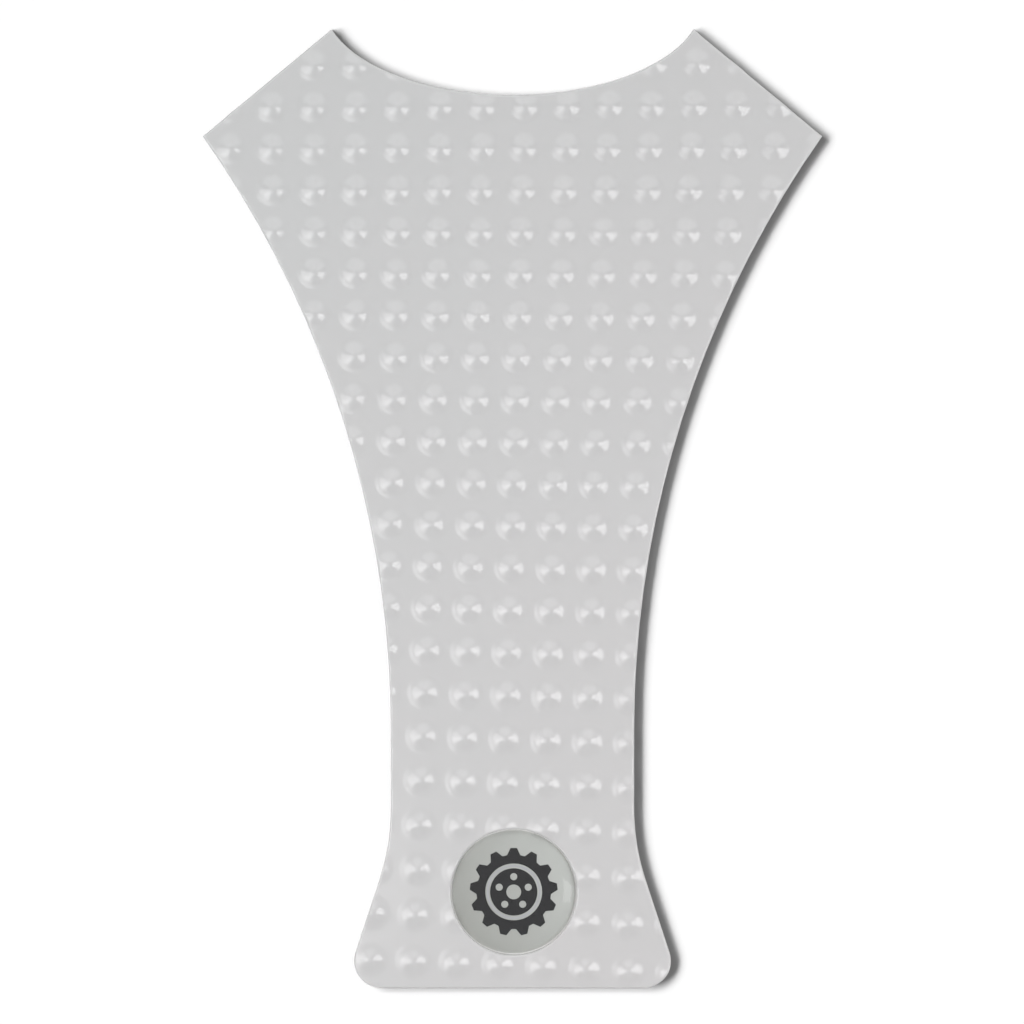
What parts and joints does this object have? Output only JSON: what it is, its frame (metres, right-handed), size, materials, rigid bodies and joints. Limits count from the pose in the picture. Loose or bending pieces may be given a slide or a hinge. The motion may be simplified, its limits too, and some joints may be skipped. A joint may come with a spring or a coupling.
{
  "type": "motorcycle tank pad",
  "caption": "Stick-on tank pad for a motorcycle: a clear moulded sheet with conical grip studs, a notch for the fuel cap and a domed round badge.",
  "frame": {"origin": "middle of the pad's length and width, on its adhesive back face", "axes": "+Z out of the studded face, +Y along the pad towards the notch for the fuel cap, +X across the pad to the right seen from the studded face"},
  "size_m": [0.126, 0.195, 0.0023],
  "materials": {
    "grip_sheet": "gloss",
    "adhesive": "satin",
    "badge_print": "satin",
    "badge_resin": "polished"
  },
  "bodies": {
    "root": {"grip_sheet": "grip_sheet", "adhesive_film": "adhesive", "badge_film": "badge_print", "badge_dome": "badge_resin"}
  },
  "joints": []
}
